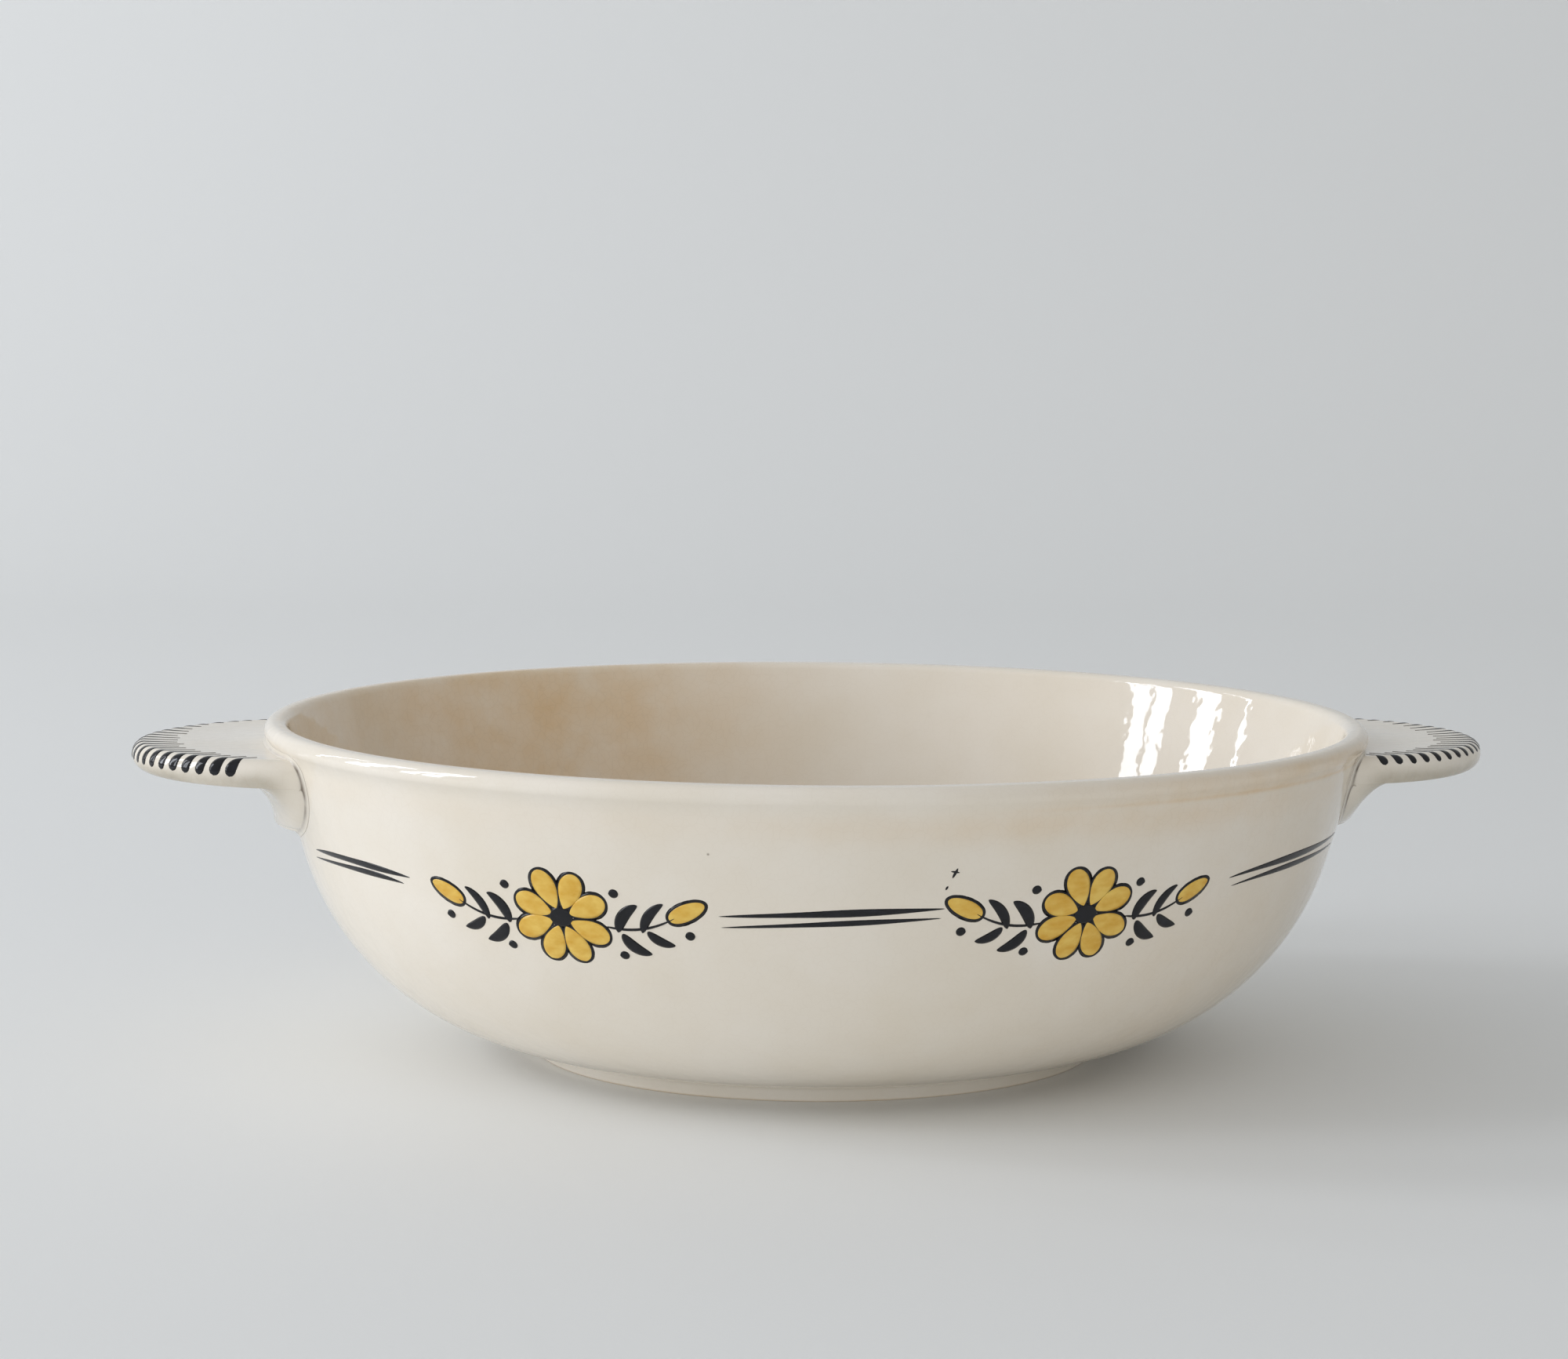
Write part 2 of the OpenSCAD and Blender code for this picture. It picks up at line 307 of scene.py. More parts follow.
innerRatio = (bowl["rimWidth"] - 2 * lipWidth) / (bowl["rimLength"] - 2 * lipWidth)
wallSeat = lipRadius - bowl["rimProud"]
bellyZ = bowl["footHeight"] + bowl["bellyRadius"]
bellyLean = np.sin(flare) * (bellyZ - lipOuter[1])
belly = np.array([lipOuter[0] + (wallSeat - bowl["bellyRadius"] + bellyLean) / np.cos(flare), bellyZ])
bellyInner = bowl["bellyRadius"] - bowl["wall"]
hollowOut = wallSeat + bowl["rimHollow"]
hollowDown = np.sqrt((lipRadius + bowl["rimHollow"]) ** 2 - hollowOut ** 2)
hollow = lipOuter + hollowOut * wallOut - hollowDown * wallUp
toLip = np.degrees(np.arctan2(*(lipOuter - hollow)[::-1]))
wallFoot = belly + bowl["bellyRadius"] * wallOut
wallHead = hollow - bowl["rimHollow"] * wallOut

# half section: floor's underside, belly curve, leaning wall, hollow and round of the rim, then back down
# inside
bellyCurve = arc(belly, bowl["bellyRadius"], -90, -bowl["flare"], 64)
wallLine = line(wallFoot, wallHead, 16)
outerSection = np.concatenate([
    line((0, bowl["footHeight"]), (belly[0], bowl["footHeight"]), 12)[:-1],
    bellyCurve[:-1],
    wallLine[:-1],
    arc(hollow, bowl["rimHollow"], 180 - bowl["flare"], toLip, 12)[:-1],
    arc(lipOuter, lipRadius, toLip - 180, 90, 30)])
innerSection = np.concatenate([
    arc(lipInner, lipRadius, 90, 180 - bowl["flare"], 16)[:-1],
    line(lipInner - lipRadius * wallOut, belly + bellyInner * wallOut, 16)[:-1],
    arc(belly, bellyInner, -bowl["flare"], -90, 64)[:-1],
    line((belly[0], belly[1] - bellyInner), (0, belly[1] - bellyInner), 14)])


# a half section turned about the upright axis, with the width drawn in to the oval's ratio
def ovalTurn(section, ratio, turns):
    turn = np.linspace(0, 2 * np.pi, turns, endpoint=False)
    r, z = section[:, :1], section[:, 1:]
    y = np.reshape(ratio, (-1, 1)) * r * np.sin(turn)
    return np.stack(np.broadcast_arrays(r * np.cos(turn), y, z), axis=-1)


bowlSection = np.concatenate([outerSection, innerSection])
bowlRatio = np.repeat([outerRatio, innerRatio], [len(outerSection), len(innerSection)])
bowlPoints = ovalTurn(bowlSection, bowlRatio, bowl["turns"])

# stains and painted shade on the bowl: heights in mm, turns in degrees from the front, and how strongly each
# shows
wearAndShade = {"overall": 0.03, "right": 0.08, "rightShadeFrom": (5, 45), "rightShadeTo": (125, 85),
        "band": 0.2, "bandHeight": 63.5, "bandTall": 3.2, "bandTurn": 22, "bandWide": 30, "bandElsewhere": 0.2,
        "face": 0.27, "faceFrom": (66, 67.5), "faceTo": (71.4, 70.2),
        "edge": 0.35, "edgeHeight": 66.4, "edgeTall": 0.45,
        "inside": 0.5, "insideFrom": (0.25, -0.55), "leftEnd": 0.4, "leftFrom": (-0.5, -0.9)}
# degrees from the front, which faces -Y: the right end lies at 90 and the left end at -90
fromFront = (np.linspace(0, 360, bowl["turns"], endpoint=False) - 90) % 360 - 180


# a soft bump of height 1 about a middle
def bump(value, middle, spread):
    return np.exp(-((value - middle) / spread) ** 2)


# outside, the whole right side is darkened as painted shade away from the window on the left, and a band of
# painted shade lies under the rim's bead, showing most to the right of the front. On the right the rim's own
# face is stained, with a line along its lower edge. Inside, a stain that is partly painted shade grows from
# the right to the left, where the wall faces away from the window, and is weaker at the left end
def bowlStainAndShade():
    high = bowlSection[:, 1:]
    along = bowlPoints[..., 0] / (bowl["rimLength"] / 2)
    right = smooth(*wearAndShade["rightShadeFrom"], fromFront) * smooth(*wearAndShade["rightShadeTo"], fromFront)
    around = bump(fromFront, wearAndShade["bandTurn"], wearAndShade["bandWide"])
    around = wearAndShade["bandElsewhere"] + (1 - wearAndShade["bandElsewhere"]) * around
    band = wearAndShade["band"] * around * bump(high, wearAndShade["bandHeight"], wearAndShade["bandTall"])
    face = wearAndShade["face"] * smooth(*wearAndShade["faceFrom"], high) * smooth(*wearAndShade["faceTo"], high)
    edge = wearAndShade["edge"] * bump(high, wearAndShade["edgeHeight"], wearAndShade["edgeTall"])
    # the right-side mask adds painted shade there, and also keeps the rim's real stains to that side
    outer = wearAndShade["overall"] + band + (wearAndShade["right"] + face + edge) * right
    inner = wearAndShade["inside"] * smooth(*wearAndShade["insideFrom"], along)
    inner = inner * (1 - wearAndShade["leftEnd"] * smooth(*wearAndShade["leftFrom"], along))
    outside = np.arange(len(bowlSection)) < len(outerSection)
    return np.where(outside[:, None], outer, inner)


bowlBody = skinMesh("bowl_body", bowlPoints[None], creamEarthenware, {"stain_and_shade": bowlStainAndShade()[None]})
print("bowl turned")


# Foot ring
foot = {"length": 122, "width": 101, "band": 4.5, "lean": 16, "round": 0.8, "ground": 0.1, "fillet": 1.3,
        "groundDarkening": 0.3, "creaseDarkening": 0.12, "turns": 320}
footOutside = foot["length"] / 2
footInside = footOutside - foot["band"]
roundZ = foot["round"] - foot["ground"]
groundTurn = np.degrees(np.arcsin(roundZ / foot["round"]))
footLean = np.radians(foot["lean"])


# height of the belly's outside at a distance from the axis
def bellyHeight(r):
    return belly[1] - np.sqrt(bowl["bellyRadius"] ** 2 - np.maximum(r - belly[0], 0) ** 2)


# the ring's section: inner face, ground foot with rounded edges, leaning outer face, and a glaze-filled
# crease
creaseR = footOutside + (bellyHeight(footOutside + 0.7) - roundZ) * np.tan(footLean)
crease = np.array([creaseR, bellyHeight(creaseR)])
leanFoot = crease - foot["fillet"] * np.array([np.sin(footLean), np.cos(footLean)])
bellyFoot = np.array([creaseR + foot["fillet"], bellyHeight(creaseR + foot["fillet"])])
bendShare = np.linspace(0, 1, 9)[:, None]
filletLine = ((1 - bendShare) ** 2 * leanFoot + 2 * bendShare * (1 - bendShare) * crease
              + bendShare ** 2 * bellyFoot)
footSection = np.concatenate([
    line((footInside, bellyHeight(footInside) + 0.05), (footInside, roundZ), 6)[:-1],
    arc((footInside + foot["round"], roundZ), foot["round"], 180, 180 + groundTurn, 8),
    arc((footOutside - foot["round"], roundZ), foot["round"], 360 - groundTurn, 360, 8)[:-1],
    line((footOutside, roundZ), leanFoot, 6)[:-1],
    filletLine,
    [bellyFoot + [-0.4, 0.05], [footInside + 1.5, bellyHeight(footInside + 1.5) + 0.3]]])
footHeights = footSection[:, 1]
# the foot is made darker at its ground edge and in the crease under the belly
footDarkening = foot["groundDarkening"] * smooth(0.5, 0.0, footHeights)
footDarkening = footDarkening + foot["creaseDarkening"] * smooth(2.6, 3.2, footHeights)
footPoints = ovalTurn(footSection, foot["width"] / foot["length"], foot["turns"]).transpose(1, 0, 2)
footBody = skinMesh("foot_ring_body", footPoints[None], creamEarthenware, {"stain_and_shade": footDarkening[None, None, :]},
                    loop=True)
print("foot ring turned")


# Handles
lug = {"reach": 27.4, "width": 65, "thick": 5.7, "drop": 4.6, "dish": 0.4, "inset": 10.6, "ease": 2.4,
       "tongueOut": 8.8, "tongueCurve": 10.8, "tongueWidth": 36, "tongueEnd": 2, "sideBow": 0.7,
       "slipThick": 0.5, "spread": (45, 85), "columns": 181, "front": 150, "back": 14,
       "widestTries": (60, 100, 1601), "tries": 1200}
spineSteps = {"top": 60, "edge": 40, "under": 40, "curve": 80, "end": 24}
# painted shade under the handles' edges, in the grey-brown of the handle glaze: a little everywhere, more
# below the edge and away from the wall
lugUnderShade = {"clean": 0.02, "show": 0.6, "fromZ": (65.4, 62.2), "fromWall": (1, 8)}
lugAxis = bowl["rimLength"] / 2 - lug["inset"]
lugRound = lug["thick"] / 2
lugTop = bowl["rimHeight"] - lug["drop"]
lugUnder = lugTop - lug["thick"]
edgeZ = lugUnder + lugRound
tongueZ = lugUnder - lug["tongueCurve"]
lugRadius = lug["inset"] + lug["reach"]
lugReach = lugRadius - lug["ease"]
lugHalf = lug["width"] / 2 - lug["ease"]
dishMiddle = (1 + lug["inset"] / lugReach) / 2


# depth of the thumb dish at a share of the way from the axis to the edge: a shallow parabola
def dishDepth(share):
    return lug["dish"] * np.maximum(0, 1 - ((share - dishMiddle) / (1 - dishMiddle)) ** 2)


# half width below the edge's middle line: it bows in from the lug's full width to the tongue's
def sideHalf(z):
    fall = np.clip((edgeZ - z) / (edgeZ - tongueZ), 0, 1)
    return (lug["tongueWidth"] + (lug["width"] - lug["tongueWidth"]) * (1 - fall ** 2) ** lug["sideBow"]) / 2


# the handle's spine: reach from the axis, half width and height, from the middle of the top, over the
# eased edge, along the underside, down the hollow curve and round the tongue's end
def lugSpine():
    share = np.linspace(0, 1, spineSteps["top"])
    top = np.stack([share * lugReach, share * lugHalf, lugTop - dishDepth(share)], axis=1)
    turn = np.radians(np.linspace(0, 90, spineSteps["edge"]))
    ease = lug["ease"] * np.sin(turn)
    upper = np.stack([lugReach + ease, lugHalf + ease, edgeZ + lugRound * np.cos(turn)], axis=1)
    drop = edgeZ - lugRound * np.sin(turn)
    lower = np.stack([lugRadius - lugRound * (1 - np.cos(turn)), sideHalf(drop), drop], axis=1)
    turn = np.radians(np.linspace(0, 90, spineSteps["curve"]))
    fall = lugUnder - lug["tongueCurve"] * (1 - np.cos(turn))
    hollowIn = lug["tongueOut"] + lug["tongueCurve"] * (1 - np.sin(turn))
    curve = np.stack([hollowIn, sideHalf(fall), fall], axis=1)
    turn = np.radians(np.linspace(0, 90, spineSteps["end"]))
    end = np.stack([lug["tongueOut"] * np.cos(turn), lug["tongueWidth"] / 2 * np.cos(turn),
                    tongueZ - lug["tongueEnd"] * np.sin(turn)], axis=1)
    under = line(lower[-1], curve[0], spineSteps["under"])
    spine = np.concatenate([top[:-1], upper[:-1], lower[:-1], under[:-1], curve[:-1], end])
    run = np.concatenate([[0], np.cumsum(np.linalg.norm(np.diff(spine, axis=0), axis=1))])
    return spine, run


spine, spineRun = lugSpine()
underRun = spineRun[spineSteps["top"] + 2 * spineSteps["edge"] - 3]  # where the flat underside starts
sideSpread = (lugRadius - lugRound - lug["tongueOut"]) / lug["tongueCurve"]


# a point of the right handle's form at a distance along the spine and an angle about its axis. Towards
# the sides the hollow curve spreads outwards until it starts at the edge
def lugForm(run, turn):
    reach, half, z = (np.interp(run, spineRun, spine[:, i]) for i in range(3))
    spread = 1 + (sideSpread - 1) * smooth(*np.radians(lug["spread"]), np.abs(turn))
    wide = np.minimum(lug["tongueOut"] + (reach - lug["tongueOut"]) * spread, lugRadius - lugRound)
    reach = np.where((run > underRun) & (z >= tongueZ), wide, reach)
    return np.stack(np.broadcast_arrays(lugAxis + reach * np.cos(turn), half * np.sin(turn), z), axis=-1)


rimJoin = hollow + bowl["rimHollow"] * np.array([np.cos(np.radians(toLip)), np.sin(np.radians(toLip))])


# the outside's half length at a height: belly curve, leaning wall, hollow, then the round of the rim
def wallReach(z):
    low = belly[0] + np.sqrt(np.maximum(bowl["bellyRadius"] ** 2 - (belly[1] - z) ** 2, 0))
    high = wallFoot[0] + (z - wallFoot[1]) * np.tan(flare)
    out = np.where(z < wallFoot[1], low, high)
    rising = (z > wallHead[1]) & (z < rimJoin[1])
    bend = hollow[0] - np.sqrt(np.maximum(bowl["rimHollow"] ** 2 - (z - hollow[1]) ** 2, 0))
    bead = lipOuter[0] + np.sqrt(np.maximum(lipRadius ** 2 - (z - lipOuter[1]) ** 2, 0))
    return np.where(z >= rimJoin[1], bead, np.where(rising, bend, out))


# how far points stand outside the wall and a gap, measured along the length
def standOut(p, gap):
    return np.hypot(p[..., 0], p[..., 1] / outerRatio) - wallReach(p[..., 2]) - gap


# points drawn level to the wall's surface, with a gap outside it
def toWall(p, gap):
    scale = (wallReach(p[..., 2]) + gap) / np.hypot(p[..., 0], p[..., 1] / outerRatio)
    return p * np.stack([scale, scale, np.ones_like(scale)], axis=-1)


# the handle's skin: each column is the spine at one angle, from where it leaves the wall to where it
# meets it again, and its back follows the wall
def lugSkin():
    tries = np.radians(np.linspace(*lug["widestTries"]))
    dense = np.linspace(0, spineRun[-1], lug["tries"])
    leaves = (standOut(lugForm(dense[None], tries[:, None]), lug["slipThick"]) > 0).any(axis=1)
    widest = tries[leaves].max()
    turn = widest * np.sin(np.linspace(-np.pi / 2, np.pi / 2, lug["columns"]))
    clear = standOut(lugForm(dense[None], turn[:, None]), lug["slipThick"])
    out = clear > 0
    rows = np.arange(len(turn))
    first = np.clip(out.argmax(axis=1), 1, None)
    last = np.clip(len(dense) - 1 - out[:, ::-1].argmax(axis=1), None, len(dense) - 2)
    step = dense[1] - dense[0]
    before, after = clear[rows, first - 1], clear[rows, first]
    start = dense[first] - step * after / np.maximum(after - before, 1e-9)
    inner, outer = clear[rows, last + 1], clear[rows, last]
    end = dense[last] + step * outer / np.maximum(outer - inner, 1e-9)
    share = np.linspace(0, 1, lug["front"])
    front = lugForm(start[:, None] + (end - start)[:, None] * share, turn[:, None])
    way = np.linspace(1, 0, lug["back"] + 2)[1:-1, None]
    back = toWall(front[:, :1] * (1 - way) + front[:, -1:] * way, lug["slipThick"])
    return front, np.concatenate([front, back], axis=1)


lugFront, lugPoints = lugSkin()
mirrorX = np.array([-1.0, 1, 1])  # the left handle is the right one's mirror image
# the painted shade lies under the edge and clear of the wall
shadedUnderEdge = smooth(*lugUnderShade["fromZ"], lugPoints[..., 2]) * smooth(*lugUnderShade["fromWall"], standOut(lugPoints, 0))
lugShade = lugUnderShade["clean"] + lugUnderShade["show"] * shadedUnderEdge
lugBodies = {
    "right": skinMesh("right_lug", lugPoints[None], handledEarthenware, {"stain_and_shade": lugShade[None]}),
    "left": skinMesh("left_lug", (lugPoints * mirrorX)[None], handledEarthenware, {"stain_and_shade": lugShade[None]})}
print("handles lofted")


# Slip joints
seam = {"count": 420, "width": 1.2, "onHandle": 1.08, "fullness": 0.16, "across": 15, "sunk": 0.35, "ease": 5,
        "line": 0.58, "lineWidth": 0.27, "lowShow": 0.4, "lowFrom": (49, 60), "topFrom": (69, 65.5)}


# resamples a closed loop of points evenly along its length
def evenLoop(loop, count):
    closed = np.concatenate([loop, loop[:1]])
    run = np.concatenate([[0], np.cumsum(np.linalg.norm(np.diff(closed, axis=0), axis=1))])
    even = np.linspace(0, run[-1], count, endpoint=False)
    return np.stack([np.interp(even, run, closed[:, i]) for i in range(3)], axis=1)


# a running mean round a closed loop, to take out small kinks
def easeLoop(loop, reach):
    return sum(np.roll(loop, k, axis=0) for k in range(-reach, reach + 1)) / (2 * reach + 1)


# the joint's collar: a hollow fillet from the wall to the handle, carried round the root
def slipCollar():
    inset = lugFront[:, 3] - lugFront[:, 0]
    outset = lugFront[:, -4] - lugFront[:, -1]
    edge = np.concatenate([lugFront[:, 0], lugFront[::-1, -1]])
    climb = np.concatenate([inset, outset[::-1]])
    climb /= np.maximum(np.linalg.norm(climb, axis=1, keepdims=True), 1e-9)
    both = evenLoop(edge, seam["count"])
    nearest = np.linalg.norm(both[:, None] - edge[None], axis=2).argmin(axis=1)
    root = toWall(easeLoop(both, seam["ease"]), lug["slipThick"])
    climb = easeLoop(climb[nearest], seam["ease"] + 4)
    climb /= np.linalg.norm(climb, axis=1, keepdims=True)
    run = np.roll(root, -1, axis=0) - np.roll(root, 1, axis=0)
    run /= np.linalg.norm(run, axis=1, keepdims=True)
    down = -np.hypot(root[:, 0], root[:, 1]) * np.tan(flare)
    facing = np.stack([root[:, 0], root[:, 1] / outerRatio ** 2, down], axis=1)
    facing /= np.linalg.norm(facing, axis=1, keepdims=True)
    away = np.cross(run, facing)
    away *= np.sign(np.sum(away * (root - root.mean(axis=0)), axis=1, keepdims=True))
    away = easeLoop(away, 3)
    low = toWall(root + away * seam["width"], 0.01)
    high = root + climb * seam["onHandle"]
    t = np.linspace(0, 1, seam["across"])[None, :, None]
    middle = root + seam["fullness"] * (away + climb)
    fillet = (1 - t) ** 2 * low[:, None] + 2 * t * (1 - t) * middle[:, None] + t ** 2 * high[:, None]
    behind = (root - facing * seam["sunk"])[:, None]
    return np.concatenate([fillet, behind], axis=1)


collar = slipCollar()
# the line of stain lies in the middle of the fillet, and fades towards the bottom and under the rim
across = np.concatenate([np.linspace(0, 1, seam["across"]), [seam["line"]]])
seamLine = np.exp(-((across - seam["line"]) / seam["lineWidth"]) ** 2)
seamHeight = collar[:, :1, 2]
alongSeam = seam["lowShow"] + (1 - seam["lowShow"]) * smooth(*seam["lowFrom"], seamHeight)
seamShade = alongSeam * smooth(*seam["topFrom"], seamHeight) * seamLine
slipLook = (stainedSlip, {"seam": seamShade[None]})
slipBodies = {
    "right": skinMesh("right_slip_seam", collar[None], *slipLook, loop=True),
    "left": skinMesh("left_slip_seam", (collar * mirrorX)[None], *slipLook, loop=True)}
print("slip joints made")


# Painting: each mark is a blade of colour along a path on a flat drawing in mm, with a half width at each
# step. It is laid on a surface as a thin crowned film whose edges dip just under the glaze
film = {"rise": 0.09, "edge": 0.01, "sunk": 0.05, "across": 7}


# each mark's ring at a step crosses the path: over the film's crown and back underneath
def blades(paths, halves, lay, rise=1.0):
    ahead = np.gradient(paths, axis=1)
    ahead /= np.maximum(np.linalg.norm(ahead, axis=2, keepdims=True), 1e-9)
    aside = np.stack([-ahead[..., 1], ahead[..., 0]], axis=-1)
    v = np.linspace(-1, 1, film["across"])
    v = np.concatenate([v, v[-2:0:-1]])
    upper = np.arange(len(v)) < film["across"]
    lift = np.where(upper, film["rise"] * rise * (1 - v ** 4) - film["edge"], -film["sunk"])
    flat = paths[:, :, None] + aside[:, :, None] * halves[:, :, None, None] * v[None, None, :, None]
    return lay(flat[..., 0], flat[..., 1], np.broadcast_to(lift, flat.shape[:3]))


# unit normal of a surface by small steps in its two directions
def surfaceNormal(surface, a, b, step=0.02):
    na = surface(a + step, b) - surface(a - step, b)
    nb = surface(a, b + step) - surface(a, b - step)
    n = np.cross(na, nb)
    return n / np.maximum(np.linalg.norm(n, axis=-1, keepdims=True), 1e-12)


# Feathering on the handles: the strokes of the left one are teardrops, those of the right one blots with
# thin tails
feather = {
    "right": {"first": 7.2, "pitch": 3.7, "blunt": 1.0, "half": 0.88, "tip": 0.68, "full": 1.5, "drawn": 3.4,
              "thread": 0.2, "lean": 3.2, "sideTail": 3.2, "tipTail": 7.0, "tipDrawn": 4.5, "farTail": 0.8,
              "washed": 0.55, "fade": 0.3},
    "left": {"first": 15.0, "pitch": 3.5, "blunt": -0.6, "half": 1.22, "tip": 0.68, "full": 1.3, "drawn": 6.0,
             "thread": 0.2, "lean": 4.4, "sideTail": 0.4, "tipTail": 7.0, "tipDrawn": 3.5, "farTail": 0.3,
             "washed": 0.6, "fade": 0.4}}
# the hand that drew them: how strokes vary, how the brush hurries and bends, and where the far side begins
hand = {"sway": ((2.4, 0.09), (5.1, 0.06)), "startSway": 0.5, "hurry": 1.4, "bend": 1.15, "grow": 1.2,
        "farFrom": np.radians(5), "farTo": np.radians(55), "sideThread": 0.4, "steps": 48}
edgeRadius = (lug["ease"] + lugRound) / 2
quarterRound = edgeRadius * np.pi / 2


# a point of the lug at an angle about its axis and a distance inwards over the edge, from the edge's
# middle line
def lugEdge(turn, inwards):
    lean = np.clip(inwards / edgeRadius, -np.pi / 2, np.pi / 2)
    run = np.hypot(lugReach * np.cos(turn), lugHalf * np.sin(turn))
    share = np.minimum(1 - np.maximum(inwards - quarterRound, 0) / run, 1)
    ease = lug["ease"] * np.cos(lean)
    z = np.where(share < 1, lugTop - dishDepth(share), edgeZ + lugRound * np.sin(lean))
    edge = np.where(lean > 0, lugReach + ease, lugRadius - lugRound * (1 - np.cos(lean)))
    reach = np.where(share < 1, share * lugReach, edge)
    half = np.where(share < 1, share * lugHalf, np.where(lean > 0, lugHalf + ease, sideHalf(z)))
    return np.stack([lugAxis + reach * np.cos(turn), half * np.sin(turn), z], axis=-1)


# one stroke for each step round the edge: its blunt end is on the edge, and its tail sweeps inwards to
# the bowl
def featherMarks(side):
    settings = feather[side]
    turn = np.linspace(0, np.pi / 2, 600)
    speed = np.hypot(lugRadius * np.sin(turn), lug["width"] / 2 * np.cos(turn))
    run = np.concatenate([[0], np.cumsum((speed[1:] + speed[:-1]) / 2 * np.diff(turn))])
    rootRun = run[standOut(lugEdge(turn, np.zeros_like(turn)), 0) > 0].max()
    count = int(round((rootRun - settings["first"]) / settings["pitch"]))
    step = np.arange(-count, count + 1)
    at = np.interp(np.abs(step) * (rootRun - settings["first"]) / count, run, turn) * np.sign(step)
    pace = np.interp(np.abs(at), turn, speed)[:, None]
    s = np.linspace(0, 1, hand["steps"])[None]
    wobble = sum(np.sin(step * turns)[:, None] * much for turns, much in hand["sway"])
    tail = settings["sideTail"] + (settings["tipTail"] - settings["sideTail"]) * np.cos(at)[:, None]
    far = smooth(hand["farFrom"], hand["farTo"], at)[:, None]
    tail = tail * (1 - far) + settings["farTail"] * far
    climb = quarterRound + tail * (1 + wobble) - settings["blunt"]
    lean = settings["lean"] * np.sin(at)[:, None] * (1 + wobble)
    inwards = settings["blunt"] + hand["startSway"] * wobble + climb * (1 - (1 - s) ** hand["hurry"])
    paths = np.stack(np.broadcast_arrays(lean * s ** hand["bend"], inwards), axis=-1)
    gone = np.hypot(climb, lean) * s
    towardsRoot = (np.abs(step) / count)[:, None] ** hand["grow"]
    size = settings["tip"] + (settings["half"] - settings["tip"]) * towardsRoot
    cap = np.sqrt(np.clip(1 - (1 - gone / size) ** 2, 0, 1)) * (gone < size) + (gone >= size)
    atTip = np.cos(at)[:, None] ** 2
    drop = 1 - smooth(settings["full"], settings["drawn"] + settings["tipDrawn"] * atTip, gone)
    thread = settings["thread"] * (hand["sideThread"] + (1 - hand["sideThread"]) * atTip)
    halves = cap * (size * (1 + wobble) * drop + thread * (1 - s))
    halves[:, [0, -1]] = 0

    def lay(a, b, lift):
        angle = at[:, None, None] + a / pace[:, :, None]
        normal = surfaceNormal(lambda p, q: lugEdge(at[:, None, None] + p / pace[:, :, None], q), a, b)
        p = lugEdge(angle, b)
        normal *= np.sign(np.sum(normal * (p - [lugAxis, 0, lugUnder]), axis=-1, keepdims=True))
        return p + normal * lift[..., None]

    points = blades(paths, halves, lay)
    wash = np.broadcast_to(settings["fade"] * smooth(settings["washed"], 1.0, s)[:, :, None], points.shape[:3])
    return (points if side == "right" else points * mirrorX), wash


featherBodies = {}
for side in feather:
    strokes, wash = featherMarks(side)
    featherBodies[side] = skinMesh(side + "_feathering", strokes, blackEnamel, {"wash": wash})
print("feathering painted")


# Stripes and flowers on the wall
wallSection = np.concatenate([bellyCurve[8:-1], wallLine])
wallRun = np.concatenate([[0], np.cumsum(np.linalg.norm(np.diff(wallSection, axis=0), axis=1))])
ovalTurns = np.radians(np.linspace(-200, 200, 4001))
ovalPace = np.hypot(np.cos(ovalTurns), outerRatio * np.sin(ovalTurns))
ovalRun = np.concatenate([[0], np.cumsum((ovalPace[1:] + ovalPace[:-1]) / 2 * np.diff(ovalTurns))])


# lays a flat drawing on the wall about a place given by its angle from the front and its height: across
# runs round the oval and up runs along the wall's section
def layOnWall(degrees, height):
    middle = np.interp(height, wallSection[:, 1], wallRun)
    reach = np.interp(middle, wallRun, wallSection[:, 0])
    start = np.interp(np.radians(degrees), ovalTurns, ovalRun)

    def surface(a, b):
        turn = np.interp(start + a / reach, ovalRun, ovalTurns)
        r = np.interp(middle + b, wallRun, wallSection[:, 0])
        z = np.interp(middle + b, wallRun, wallSection[:, 1])
        return np.stack([r * np.sin(turn), -outerRatio * r * np.cos(turn), z], axis=-1)

    def lay(a, b, lift):
        p = surface(a, b)
        normal = surfaceNormal(surface, a, b)
        normal *= np.sign(np.sum(normal[..., :2] * p[..., :2], axis=-1))[..., None]
        return p + normal * lift[..., None]

    return lay


turnAbout = np.array([-1.0, -1, 1])  # half a turn about the upright axis

# each stripe: angle and height of its start, bow and end, in degrees from the front and mm, and its half
# width
stripes = [
    {"angles": (-73.0, -62.3, -51.4), "heights": (48.0, 48.6, 47.8), "half": 0.74},
    {"angles": (-73.9, -61.0, -52.7), "heights": (46.2, 47.0, 46.3), "half": 0.6},
    {"angles": (-15.3, -4.2, 7.0), "heights": (45.9, 46.8, 47.6), "half": 0.74},
    {"angles": (-15.1, -4.2, 6.7), "heights": (43.7, 44.8, 45.7), "half": 0.56},
    {"angles": (41.2, 53.0, 72.0), "heights": (48.8, 50.3, 50.6), "half": 0.74},
    {"angles": (41.9, 53.5, 70.5), "heights": (47.0, 48.5, 48.7), "half": 0.6}]


brushLine = {"steps": 80, "late": 1.15, "blunt": 0.6, "sway": 0.12, "swayTurns": 9}


